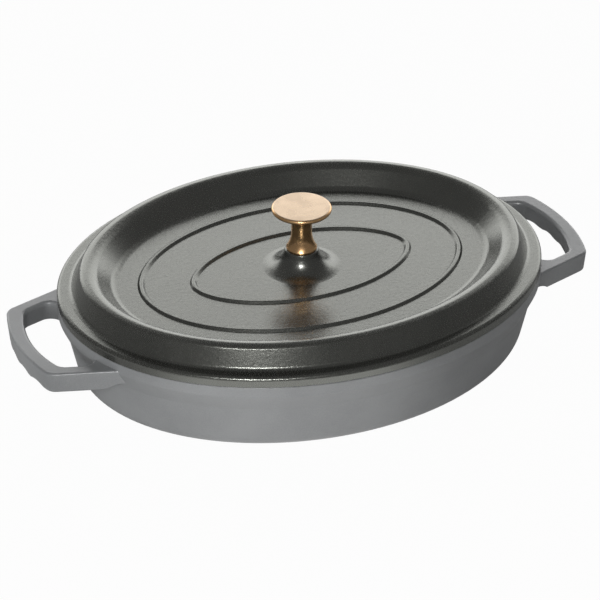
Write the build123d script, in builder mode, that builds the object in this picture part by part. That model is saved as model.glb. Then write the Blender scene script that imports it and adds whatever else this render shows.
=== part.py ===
from build123d import *
from math import atan2, cos, hypot, pi, radians, sin, tan
import os

# Every length is in millimetres. The pan stands on Z = 0, centred on the origin, and is longest along X.
# The rim is an oval, and each ring of the pan and of the lid follows it at a steady inset.
rim_half_length = 165
rim_half_width = 131

# Pan
pan_height = 55
rim_band_height = 7.5
rim_slope_height = 11.8
rim_overhang = 5.3
rim_width = 9
wall_draft_angle = 12
wall_thickness = 4.5
cavity_slope_radius = 11.8
floor_thickness = 5
foot_radius = 13
edge_radius = 0.6

# Loop handles, cast on the pan
handle_length = 34
handle_bow = 7.5
handle_half_width = 42.5
handle_splay_angle = 17.5
handle_drop = 5
handle_thickness = 14.5
handle_draft_angle = 5
handle_root_inset = 31.5
handle_corner_radius = 9
handle_edge_radius = 1.5
bar_width = 10.5
leg_width = 10
opening_corner_radius = 9
opening_root_radius = 7
opening_root_inset = 1.5
opening_edge_radius = 2.5
gusset_half_gap = 33
leg_arch_radius = 14.5
leg_arch_height = 4.5
leg_arch_inset = 18
finger_groove_count = 4
finger_groove_pitch = 18
finger_groove_depth = 2.5

# Lid
flange_thickness = 7
flange_edge_radius = 2.4
slope_foot_inset = 9.3
slope_foot_radius = 3
slope_angle = 62.5
shoulder_height = 12.6
shoulder_radius = 3
crown_inset = 18.6
crown_radius = 9
crest_height = 13.5
crest_inner_inset = 24.3
crest_inner_radius = 8.5
crest_hollow_radius = 2
well_inset = 36.8
well_radius = 6
well_rise = 0.2
lid_thickness = 4.5
lip_clearance = 1
lip_width = 3.5
lip_depth = 4
outer_ridge_margin = 18.4
inner_ridge_end_radius = 14.6
ridge_width = 4.8
ridge_height = 1.5
ridge_flank_angle = 45
boss_height = 13.1
boss_top_radius = 10.9
boss_flank_angle = 70
boss_shoulder_radius = 1.2
boss_root_radius = 15
drip_stud_radius = 3
drip_stud_tip_radius = 1.5
drip_stud_height = 2
drip_stud_pitch = 22
drip_stud_rows = 5
drip_stud_columns = 7

# Knob, its screw and its washer
knob_height = 31.2
knob_foot_radius = 10.2
knob_foot_edge = 1.2
knob_foot_chamfer = 0.4
knob_waist_radius = 6.8
knob_waist_height = 13
knob_neck_height = 3.5
knob_disc_radius = 19.8
knob_disc_thickness = 3
screw_diameter = 6
screw_thread_depth = 11
screw_tip_gap = 1.5
thread_clearance = 0.05
screw_hole_clearance = 0.5
screw_head_radius = 5.5
screw_head_height = 3.4
screw_head_edge_radius = 1.7
screw_tip_chamfer = 0.6
screw_slot_length = 6.5
screw_slot_width = 1.4
screw_slot_depth = 1.6
washer_radius = 7.5
washer_thickness = 1.2
washer_hole_clearance = 0.2

# How far a swept ring runs on into the flat middle that it joins
join_overlap = 6

# Heights and insets that follow from the sizes above
draft = radians(wall_draft_angle)
band_foot_z = pan_height - rim_band_height
slope_foot_z = band_foot_z - rim_slope_height
foot_inset = rim_overhang + slope_foot_z * tan(draft)
cavity_inset = rim_overhang + wall_thickness / cos(draft)
cavity_foot_inset = cavity_inset + (slope_foot_z - floor_thickness) * tan(draft)
cavity_foot_radius = foot_radius - wall_thickness
floor_join_inset = foot_inset + foot_radius + join_overlap
flange_z = pan_height + flange_thickness
crest_z = flange_z + crest_height
well_z = flange_z + well_rise
well_join_inset = well_inset + well_radius + join_overlap
rim_end_radius = rim_half_width**2 / rim_half_length
ridge_insets = (well_inset + outer_ridge_margin, rim_end_radius - inner_ridge_end_radius)
lip_inset = rim_width + lip_clearance
boss_top_z = well_z + boss_height
washer_z = well_z - lid_thickness
screw_radius = screw_diameter / 2


def rim_path():
    """The oval of the rim, which every ring follows."""
    with BuildLine() as path:
        EllipticalCenterArc((0, 0), rim_half_length, rim_half_width, start_angle=0, arc_size=360)
    return path.line


def ring_plane():
    """The upright plane across the rim at +X: its x is the inset from the rim, its y the height."""
    return Plane(origin=(rim_half_length, 0, 0), x_dir=(-1, 0, 0), z_dir=(0, 1, 0))


def ring_outline(*corners):
    """A closed outline through corners given as (inset, height, corner radius)."""
    points = [(inset, height) for inset, height, radius in corners]
    FilletPolyline(*points, close=True, radius=[radius for inset, height, radius in corners])


def oval_at(inset):
    """An oval that lies inside the rim by the inset at both of its axes."""
    Ellipse(rim_half_length - inset, rim_half_width - inset)


def mitre(before, corner, after, distance):
    """Moves a corner of an outline so that both of its sides shift right by the distance."""
    angle_in = atan2(corner[1] - before[1], corner[0] - before[0])
    angle_out = atan2(after[1] - corner[1], after[0] - corner[0])
    reach = distance / cos((angle_out - angle_in) / 2)
    direction = (angle_in + angle_out) / 2 - pi / 2
    return (corner[0] + reach * cos(direction), corner[1] + reach * sin(direction))


def loop_plan(root_x, root_half_width, corner_x, corner_half_width, reach, corner_radius):
    """A handle's plan, which narrows from its root to the corners of its bowed bar."""
    with BuildSketch() as plan:
        with BuildLine():
            Polyline(
                (corner_x, corner_half_width),
                (root_x, root_half_width),
                (root_x, -root_half_width),
                (corner_x, -corner_half_width),
            )
            ThreePointArc((corner_x, -corner_half_width), (reach, 0), (corner_x, corner_half_width))
        make_face()
        fillet(plan.vertices().group_by(Axis.X)[-1], corner_radius)
    return plan.sketch


# Pan: the handles come first, each a closed loop whose inner end is cut off inside the wall
splay = radians(handle_splay_angle)
handle_reach = rim_half_length + handle_length
handle_top_z = pan_height - handle_drop
handle_foot_z = handle_top_z - handle_thickness
corner_x = handle_reach - handle_bow
root_x = rim_half_length - handle_root_inset
root_half_width = handle_half_width + (corner_x - root_x) * tan(splay)
opening_reach = handle_reach - bar_width
opening_corner_x = corner_x - bar_width
opening_root_x = root_x + leg_width
leg_span = leg_width / cos(splay)
opening_half_width = handle_half_width + bar_width * tan(splay) - leg_span
opening_root_half_width = opening_half_width + (opening_corner_x - opening_root_x) * tan(splay)
handle_end_inset = (rim_overhang + rim_width) / 2
arch_x = rim_half_length - leg_arch_inset
arch_z = handle_foot_z + leg_arch_height - leg_arch_radius
groove_radius = ((finger_groove_pitch / 2) ** 2 + finger_groove_depth**2) / (2 * finger_groove_depth)
groove_z = handle_foot_z + finger_groove_depth - groove_radius
groove_length = bar_width + handle_bow

handle_outline = loop_plan(
    root_x, root_half_width, corner_x, handle_half_width, handle_reach, handle_corner_radius
)
opening_outline = loop_plan(
    opening_root_x,
    opening_root_half_width,
    opening_corner_x,
    opening_half_width,
    opening_reach,
    opening_corner_radius,
)
with BuildSketch() as opening:
    add(opening_outline)
    with BuildSketch(mode=Mode.SUBTRACT):
        oval_at(opening_root_inset)
    fillet(opening.vertices().group_by(Axis.X)[0], opening_root_radius)

with BuildPart() as pan:
    with BuildSketch(Plane.XY.offset(handle_top_z)):
        add(handle_outline)
        add(opening.sketch, mode=Mode.SUBTRACT)
    extrude(amount=-handle_thickness, taper=handle_draft_angle)
    flats = pan.faces().filter_by(Axis.Z)
    opening_edges = [edge for face in flats for wire in face.inner_wires() for edge in wire.edges()]
    fillet(opening_edges, opening_edge_radius)
    flats = pan.faces().filter_by(Axis.Z)
    fillet([edge for face in flats for edge in face.outer_wire().edges()], handle_edge_radius)
    with Locations((opening_root_x, 0, handle_top_z)):
        Box(
            opening_corner_x - opening_root_x - opening_corner_radius,
            2 * gusset_half_gap,
            2 * handle_thickness,
            align=(Align.MIN, Align.CENTER, Align.CENTER),
            mode=Mode.SUBTRACT,
        )
    with Locations((arch_x, 0, arch_z)):
        Cylinder(leg_arch_radius, 2 * root_half_width, rotation=(90, 0, 0), mode=Mode.SUBTRACT)
    with Locations((handle_reach - groove_length / 2, 0, groove_z)):
        with GridLocations(1, finger_groove_pitch, 1, finger_groove_count):
            Cylinder(groove_radius, groove_length, rotation=(0, 90, 0), mode=Mode.SUBTRACT)
    with BuildSketch(Plane.XY):
        oval_at(handle_end_inset)
    extrude(amount=pan_height, mode=Mode.SUBTRACT)
    mirror(about=Plane.YZ)

    with BuildSketch(ring_plane()):
        with BuildLine():
            ring_outline(
                (0, pan_height, edge_radius),
                (rim_width, pan_height, edge_radius),
                (cavity_inset, slope_foot_z, cavity_slope_radius),
                (cavity_foot_inset, floor_thickness, cavity_foot_radius),
                (floor_join_inset, floor_thickness, 0),
                (floor_join_inset, 0, 0),
                (foot_inset, 0, foot_radius),
                (rim_overhang, slope_foot_z, edge_radius),
                (0, band_foot_z, edge_radius),
            )
        make_face()
    sweep(path=rim_path())
    with BuildSketch(Plane.XY):
        oval_at(floor_join_inset - join_overlap)
    extrude(amount=floor_thickness)


# Lid: a swept ring from the flange to the sunken middle, then the middle with its boss, ridges and studs
slope_run = 1 / tan(radians(slope_angle))
slope_foot = (slope_foot_inset, flange_z)
shoulder = (slope_foot_inset + shoulder_height * slope_run, flange_z + shoulder_height)
crest_outer = (slope_foot_inset + crest_height * slope_run, crest_z)
crest_inner = (crest_inner_inset, crest_z)
well_edge = (well_inset, well_z)
well_join = (well_join_inset, well_z)
under_crest_outer = mitre(slope_foot, crest_outer, crest_inner, lid_thickness)
under_crest_inner = mitre(crest_outer, crest_inner, well_edge, lid_thickness)
under_well_edge = mitre(crest_inner, well_edge, well_join, lid_thickness)
lip_foot_z = pan_height - lip_depth
boss_foot_radius = boss_top_radius + boss_height / tan(radians(boss_flank_angle))
boss_skirt_radius = boss_foot_radius + boss_root_radius
stud_x = [drip_stud_pitch * (i - (drip_stud_columns - 1) / 2) for i in range(drip_stud_columns)]
stud_y = [drip_stud_pitch * (i - (drip_stud_rows - 1) / 2) for i in range(drip_stud_rows)]
stud_spots = [(x, y, washer_z) for x in stud_x for y in stud_y if hypot(x, y) > boss_foot_radius]

with BuildPart() as lid:
    with BuildSketch(ring_plane()):
        with BuildLine():
            ring_outline(
                (0, pan_height, edge_radius),
                (0, flange_z, flange_edge_radius),
                (*slope_foot, slope_foot_radius),
                (*shoulder, shoulder_radius),
                (crown_inset, crest_z, crown_radius),
                (*crest_inner, crest_inner_radius),
                (*well_edge, well_radius),
                (*well_join, 0),
                (well_join_inset, washer_z, 0),
                (*under_well_edge, well_radius + lid_thickness),
                (*under_crest_inner, max(crest_inner_radius - lid_thickness, edge_radius)),
                (*under_crest_outer, crest_hollow_radius),
                (lip_inset + lip_width, lip_foot_z, edge_radius),
                (lip_inset, lip_foot_z, edge_radius),
                (lip_inset, pan_height, 0),
            )
        make_face()
    sweep(path=rim_path())
    with BuildSketch(Plane.XY.offset(washer_z)):
        oval_at(well_join_inset - join_overlap)
    extrude(amount=lid_thickness)
    with BuildSketch(Plane.XZ):
        with BuildLine():
            ring_outline(
                (0, washer_z, 0),
                (boss_skirt_radius, washer_z, 0),
                (boss_skirt_radius, well_z, 0),
                (boss_foot_radius, well_z, boss_root_radius),
                (boss_top_radius, boss_top_z, boss_shoulder_radius),
                (0, boss_top_z, 0),
            )
        make_face()
    revolve(axis=Axis.Z)
    for ridge_inset in ridge_insets:
        with BuildSketch(ring_plane()) as ridge:
            with Locations((ridge_inset, well_z)):
                Trapezoid(
                    ridge_width, ridge_height, ridge_flank_angle, align=(Align.CENTER, Align.MIN)
                )
            fillet(ridge.vertices().group_by(Axis.Y)[-1], ridge_height / 2)
        sweep(path=rim_path())
    with Locations(*stud_spots):
        Cone(
            drip_stud_tip_radius,
            drip_stud_radius,
            drip_stud_height,
            align=(Align.CENTER, Align.CENTER, Align.MAX),
        )
    with Locations((0, 0, washer_z)):
        Cylinder(
            screw_radius + screw_hole_clearance,
            lid_thickness + boss_height,
            align=(Align.CENTER, Align.CENTER, Align.MIN),
            mode=Mode.SUBTRACT,
        )


# Knob: one turned piece that stands on the boss, with a blind threaded bore in its foot
knob_top_z = boss_top_z + knob_height
disc_foot_z = knob_top_z - knob_disc_thickness
disc_flat_radius = knob_disc_radius - knob_disc_thickness / 2
foot_edge_z = boss_top_z + knob_foot_edge
waist_z = boss_top_z + knob_waist_height
neck_top_z = waist_z + knob_neck_height
bore_depth = screw_thread_depth + screw_tip_gap

with BuildPart() as knob:
    with BuildSketch(Plane.XZ):
        with BuildLine():
            Polyline(
                (knob_waist_radius, neck_top_z),
                (knob_waist_radius, waist_z),
            )
            TangentArc(
                (knob_waist_radius, waist_z), (knob_foot_radius, foot_edge_z), tangent=(0, -1)
            )
            Polyline(
                (knob_foot_radius, foot_edge_z),
                (knob_foot_radius, boss_top_z),
                (0, boss_top_z),
                (0, knob_top_z),
                (disc_flat_radius, knob_top_z),
            )
            ThreePointArc(
                (disc_flat_radius, knob_top_z),
                (knob_disc_radius, (knob_top_z + disc_foot_z) / 2),
                (disc_flat_radius, disc_foot_z),
            )
            TangentArc(
                (knob_waist_radius, neck_top_z), (disc_flat_radius, disc_foot_z), tangent=(0, 1)
            )
        make_face()
    revolve(axis=Axis.Z)
    chamfer(knob.edges().group_by(Axis.Z)[0], knob_foot_chamfer)
    with Locations((0, 0, boss_top_z)):
        Cylinder(
            screw_radius + thread_clearance,
            bore_depth,
            align=(Align.CENTER, Align.CENTER, Align.MIN),
            mode=Mode.SUBTRACT,
        )


# Washer under the lid, and the screw that comes up through it, the lid and the knob's bore
head_seat_z = washer_z - washer_thickness
head_foot_z = head_seat_z - screw_head_height
screw_tip_z = boss_top_z + screw_thread_depth

with BuildPart() as knob_washer:
    with BuildSketch(Plane.XY.offset(head_seat_z)):
        Circle(washer_radius)
        Circle(screw_radius + washer_hole_clearance, mode=Mode.SUBTRACT)
    extrude(amount=washer_thickness)

with BuildPart() as knob_screw:
    with BuildSketch(Plane.XZ):
        with BuildLine():
            ring_outline(
                (0, head_foot_z, 0),
                (screw_head_radius, head_foot_z, screw_head_edge_radius),
                (screw_head_radius, head_seat_z, 0),
                (screw_radius, head_seat_z, 0),
                (screw_radius, screw_tip_z, 0),
                (0, screw_tip_z, 0),
            )
        make_face()
    revolve(axis=Axis.Z)
    chamfer(knob_screw.edges().group_by(Axis.Z)[-1], screw_tip_chamfer)
    with Locations((0, 0, head_foot_z)):
        for turn in (0, 90):
            Box(
                screw_slot_length,
                screw_slot_width,
                screw_slot_depth,
                rotation=(0, 0, turn),
                align=(Align.CENTER, Align.CENTER, Align.MIN),
                mode=Mode.SUBTRACT,
            )


os.makedirs("parts", exist_ok=True)
pan.part.label = "pan"
export_step(pan.part, "parts/pan.step")
lid.part.label = "lid"
export_step(lid.part, "parts/lid.step")
knob.part.label = "knob"
export_step(knob.part, "parts/knob.step")
knob_washer.part.label = "knob_washer"
export_step(knob_washer.part, "parts/knob_washer.step")
knob_screw.part.label = "knob_screw"
export_step(knob_screw.part, "parts/knob_screw.step")
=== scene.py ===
from math import cos, pi, radians, sin

import bpy
from mathutils import Matrix, Vector

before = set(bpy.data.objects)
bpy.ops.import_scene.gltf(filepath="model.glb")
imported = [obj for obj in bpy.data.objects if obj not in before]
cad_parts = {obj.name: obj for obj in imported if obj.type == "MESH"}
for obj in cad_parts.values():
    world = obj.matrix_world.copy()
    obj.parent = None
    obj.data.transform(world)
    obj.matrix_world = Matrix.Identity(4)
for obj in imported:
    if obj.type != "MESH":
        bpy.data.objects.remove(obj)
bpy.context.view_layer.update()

MM = 0.001

# Camera, as fitted to the rim, the seam, the ridges, the knob and the handles in the photograph
PHOTO_PIXELS = 600
CAMERA_AZIMUTH = -23.16
CAMERA_ELEVATION = 31.27
CAMERA_DISTANCE = 1.9
CAMERA_REACH = 100
CAMERA_TARGET = Vector((0, 0, 0.06))
TARGET_PIXEL = (301.6, 267.32)
FOCAL_PIXELS = 2869.5
SENSOR_WIDTH = 36

# Studio: how bright the backdrop and the walls are to the object, where 1 is white.
# The backdrop ends at the sides by the cosine from straight behind, and at the top by the height.
BACKDROP_LEVEL = 2.03
WALL_LEVEL = 0.14
BACKDROP_SIDES = (0.5, 0.78)
BACKDROP_TOP = (0.54, 0.62)
LAMP_TARGET = Vector((0, 0, 0.05))

# Floor: it lies a hair under the pan's foot, so that the two don't share a plane.
# The pool is the lit part of the table that the object mirrors.
FLOOR_HALF_SIDE = 3.0
FLOOR_GAP = 0.1 * MM
FLOOR_COLOUR = (0.62, 0.62, 0.62, 1)
FLOOR_GLOW_SHARE = 0.97
POOL_CENTRE = Vector((-0.1, -0.25, 0))
POOL_RADII = (0.1, 0.3)
POOL_LEVELS = (1.1, 0.05)

# Materials: noise scales are in cells per metre, bumps are (strength, distance)
CLOUD_SCALE = 28.0
GRAIN_SCALE = 1500.0
PEEL_SCALE = 420.0
SMEAR_SCALE = 90.0
NOISE_SPREAD = (0.3, 0.7)
PAINT_SPREAD = (0.8, 1.2)
PEEL_BUMP = (0.1, 0.6 * MM)
GRAIN_BUMP = (0.2, 0.2 * MM)
GRAIN_GLOSS = 0.05
SMEAR_GLOSS = (0.8, 1.25)
# How far up a face must point to take the metal's top tone instead of its side tone; the two tones
# are painted light and shade.
PAINTED_TOP_NORMAL = (0.8, 0.98)
WHITE = (1, 1, 1, 1)
# Steel: the lighter tone goes on flat tops as painted light; the plain steel goes on the sides.
STEEL_PAINTED_LIT_TOP = (0.66, 0.66, 0.67, 1)
STEEL = (0.58, 0.58, 0.59, 1)


def direction(azimuth, elevation):
    """The unit vector towards a place seen from the object; azimuth 0 is the -Y side."""
    a, e = radians(azimuth), radians(elevation)
    return Vector((sin(a) * cos(e), -cos(a) * cos(e), sin(e)))


def looking_back(target, out, distance):
    """The matrix of a camera or lamp that stands out from the target and looks back at it."""
    return (
        Matrix.Translation(target + distance * out)
        @ out.to_track_quat("Z", "Y").to_matrix().to_4x4()
    )


def add_object(name, data):
    made = bpy.data.objects.new(name, data)
    bpy.context.scene.collection.objects.link(made)
    return made


def add_camera():
    data = bpy.data.cameras.new("camera")
    data.sensor_width = SENSOR_WIDTH
    data.lens = FOCAL_PIXELS / PHOTO_PIXELS * SENSOR_WIDTH
    data.shift_x = (PHOTO_PIXELS / 2 - TARGET_PIXEL[0]) / PHOTO_PIXELS
    data.shift_y = (TARGET_PIXEL[1] - PHOTO_PIXELS / 2) / PHOTO_PIXELS
    data.clip_end = CAMERA_REACH
    camera = add_object("camera", data)
    back = direction(CAMERA_AZIMUTH, CAMERA_ELEVATION)
    camera.matrix_world = looking_back(CAMERA_TARGET, back, CAMERA_DISTANCE)
    bpy.context.scene.camera = camera


def nodes_of(owner):
    """The emptied node tree of a material or a world."""
    owner.use_nodes = True
    owner.node_tree.nodes.clear()
    return owner.node_tree


def node(tree, kind, inputs=(), **settings):
    """A node whose inputs are given as values or as the sockets that feed them."""
    made = tree.nodes.new(kind)
    for key, value in settings.items():
        setattr(made, key, value)
    for key, value in dict(inputs).items():
        if isinstance(value, bpy.types.NodeSocket):
            tree.links.new(value, made.inputs[key])
        else:
            made.inputs[key].default_value = value
    return made


def noise(tree, place, scale, detail, roughness):
    inputs = {"Vector": place, "Scale": scale, "Detail": detail, "Roughness": roughness}
    return node(tree, "ShaderNodeTexNoise", inputs).outputs["Fac"]


def remap(tree, value, span, to_span=(0.0, 1.0), curve="LINEAR"):
    """The value moved from one span to another, and held at its ends."""
    inputs = {
        "Value": value,
        "From Min": span[0],
        "From Max": span[1],
        "To Min": to_span[0],
        "To Max": to_span[1],
    }
    return node(tree, "ShaderNodeMapRange", inputs, interpolation_type=curve).outputs[0]


def maths(tree, operation, first, second):
    return node(tree, "ShaderNodeMath", {0: first, 1: second}, operation=operation).outputs[0]


def colour_mix(tree, factor, first, second):
    inputs = {"Factor": factor, "A": first, "B": second}
    return node(tree, "ShaderNodeMix", inputs, data_type="RGBA").outputs["Result"]


def bump(tree, height, size, normal=None):
    inputs = {"Height": height, "Strength": size[0], "Distance": size[1]}
    if normal is not None:
        inputs["Normal"] = normal
    return node(tree, "ShaderNodeBump", inputs).outputs[0]


def finish_tree(tree, kind, shader):
    tree.links.new(shader.outputs[0], node(tree, kind).inputs["Surface"])


def enamel(name, dark, light, roughness, ior, tint):
    """Satin enamel on cast iron: fine speckle, an orange-peel skin and faint clouds in the grey."""
    material = bpy.data.materials.new(name)
    tree = nodes_of(material)
    place = node(tree, "ShaderNodeTexCoord").outputs["Object"]
    clouds = noise(tree, place, CLOUD_SCALE, 3.0, 0.55)
    grain = noise(tree, place, GRAIN_SCALE, 2.0, 0.6)
    peel = noise(tree, place, PEEL_SCALE, 2.0, 0.5)
    shade = remap(tree, maths(tree, "ADD", clouds, grain), PAINT_SPREAD)
    gloss = remap(tree, grain, NOISE_SPREAD, (roughness - GRAIN_GLOSS, roughness + GRAIN_GLOSS))
    skin = bump(tree, peel, PEEL_BUMP)
    shader = node(tree, "ShaderNodeBsdfPrincipled", {
        "Base Color": colour_mix(tree, shade, dark, light),
        "Roughness": gloss,
        "IOR": ior,
        "Specular Tint": tint,
        "Normal": bump(tree, grain, GRAIN_BUMP, skin),
    })
    finish_tree(tree, "ShaderNodeOutputMaterial", shader)
    return material


def metal(name, top_painted_tone, sides, roughness):
    """Turned metal with one tone on its flat tops and one on its sides, which paints light and
    shade by which way a face points, and smears in the gloss.
    """
    material = bpy.data.materials.new(name)
    tree = nodes_of(material)
    coordinates = node(tree, "ShaderNodeTexCoord").outputs
    smear = noise(tree, coordinates["Object"], SMEAR_SCALE, 3.0, 0.5)
    # The mask below picks the top tone or the side tone by facing: painted light and shade.
    upward = node(tree, "ShaderNodeSeparateXYZ", {0: coordinates["Normal"]}).outputs["Z"]
    top = remap(tree, upward, PAINTED_TOP_NORMAL)
    gloss = remap(tree, smear, NOISE_SPREAD, [roughness * factor for factor in SMEAR_GLOSS])
    shader = node(tree, "ShaderNodeBsdfPrincipled", {
        "Base Color": colour_mix(tree, top, sides, top_painted_tone),
        "Metallic": 1.0,
        "Roughness": gloss,
    })
    finish_tree(tree, "ShaderNodeOutputMaterial", shader)
    return material


def add_world():
    """A studio: a bright backdrop behind, dim at the sides and overhead; white to the camera."""
    world = bpy.data.worlds.new("studio")
    bpy.context.scene.world = world
    tree = nodes_of(world)
    place = node(tree, "ShaderNodeTexCoord").outputs["Generated"]
    back = -direction(CAMERA_AZIMUTH, 0)
    facing = node(tree, "ShaderNodeVectorMath", {0: place, 1: back}, operation="DOT_PRODUCT")
    height = node(tree, "ShaderNodeSeparateXYZ", {0: place}).outputs["Z"]
    behind = remap(tree, facing.outputs["Value"], BACKDROP_SIDES, curve="SMOOTHSTEP")
    low = remap(tree, height, BACKDROP_TOP, (1.0, 0.0), curve="SMOOTHSTEP")
    lit = maths(tree, "MULTIPLY", behind, low)
    level = remap(tree, lit, (0.0, 1.0), (WALL_LEVEL, BACKDROP_LEVEL))
    rays = node(tree, "ShaderNodeLightPath").outputs
    seen = node(tree, "ShaderNodeMix", {
        "Factor": rays["Is Camera Ray"], "A": level, "B": 1.0}, data_type="FLOAT")
    background = node(tree, "ShaderNodeBackground", {
        "Color": WHITE, "Strength": seen.outputs["Result"]})
    finish_tree(tree, "ShaderNodeOutputWorld", background)


def add_area(name, turn, elevation, distance, size, level, mirrored=True):
    """A soft panel at the turn from the camera; its level is how bright the panel itself is."""
    data = bpy.data.lights.new(name, "AREA")
    data.shape = "RECTANGLE"
    data.size, data.size_y = size
    data.energy = level * pi * size[0] * size[1]
    lamp = add_object(name, data)
    lamp.visible_glossy = mirrored
    out = direction(CAMERA_AZIMUTH + turn, elevation)
    lamp.matrix_world = looking_back(LAMP_TARGET, out, distance)


def add_floor():
    """A table top: near white to the camera, a pool of light to glossy rays, matt to the rest."""
    half = FLOOR_HALF_SIDE
    corners = [(-half, -half, 0), (half, -half, 0), (half, half, 0), (-half, half, 0)]
    mesh = bpy.data.meshes.new("floor")
    mesh.from_pydata(corners, [], [(0, 1, 2, 3)])
    floor = add_object("floor", mesh)
    floor.location.z = -FLOOR_GAP
    material = bpy.data.materials.new("floor_white")
    tree = nodes_of(material)
    place = node(tree, "ShaderNodeTexCoord").outputs["Object"]
    reach = node(tree, "ShaderNodeVectorMath", {0: place, 1: POOL_CENTRE}, operation="DISTANCE")
    pool = remap(tree, reach.outputs["Value"], POOL_RADII, POOL_LEVELS, curve="SMOOTHSTEP")
    rays = node(tree, "ShaderNodeLightPath").outputs
    mirrored = maths(tree, "MULTIPLY", rays["Is Glossy Ray"], pool)
    level = maths(tree, "MAXIMUM", rays["Is Camera Ray"], mirrored)
    share = maths(tree, "MULTIPLY", level, FLOOR_GLOW_SHARE)
    matt = node(tree, "ShaderNodeBsdfDiffuse", {"Color": FLOOR_COLOUR})
    glow = node(tree, "ShaderNodeEmission", {"Color": WHITE, "Strength": level})
    mix = node(tree, "ShaderNodeMixShader", {0: share, 1: matt.outputs[0], 2: glow.outputs[0]})
    finish_tree(tree, "ShaderNodeOutputMaterial", mix)
    mesh.materials.append(material)


# The pan and the lid wear one enamel in two copies: the pan's grey is painted light and the lid's
# near-black is painted shade, each set for how this studio's light falls on it.
materials = {
    "pan": enamel(
        "pan_enamel",
        dark=(0.18, 0.186, 0.19, 1),
        light=(0.23, 0.236, 0.24, 1),
        roughness=0.34,
        ior=2.0,
        tint=WHITE,
    ),
    "lid": enamel(
        "lid_enamel",
        dark=(0.01, 0.0105, 0.0095, 1),
        light=(0.024, 0.024, 0.022, 1),
        roughness=0.25,
        ior=2.4,
        tint=(0.98, 1.0, 0.92, 1),
    ),
    # The knob: its dull top tone is painted shade and its bright copper side tone is painted light,
    # both chosen by facing.
    "knob": metal(
        "knob_metal", top_painted_tone=(0.5, 0.385, 0.275, 1), sides=(0.97, 0.6, 0.3, 1), roughness=0.26
    ),
    # Washer and screw: their lighter flat tops are painted light.
    "knob_washer": metal("washer_steel", top_painted_tone=STEEL_PAINTED_LIT_TOP, sides=STEEL, roughness=0.3),
    "knob_screw": metal("screw_steel", top_painted_tone=STEEL_PAINTED_LIT_TOP, sides=STEEL, roughness=0.25),
}
for name, material in materials.items():
    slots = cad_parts[name].data.materials
    slots.clear()
    slots.append(material)

bpy.context.scene.view_settings.view_transform = "Standard"
add_camera()
add_world()
add_floor()
add_area("key", turn=-3, elevation=36, distance=2.4, size=(0.55, 0.3), level=36)
add_area(
    "low_fill", turn=-38, elevation=4, distance=1.8, size=(1.6, 0.6), level=6.6, mirrored=False
)
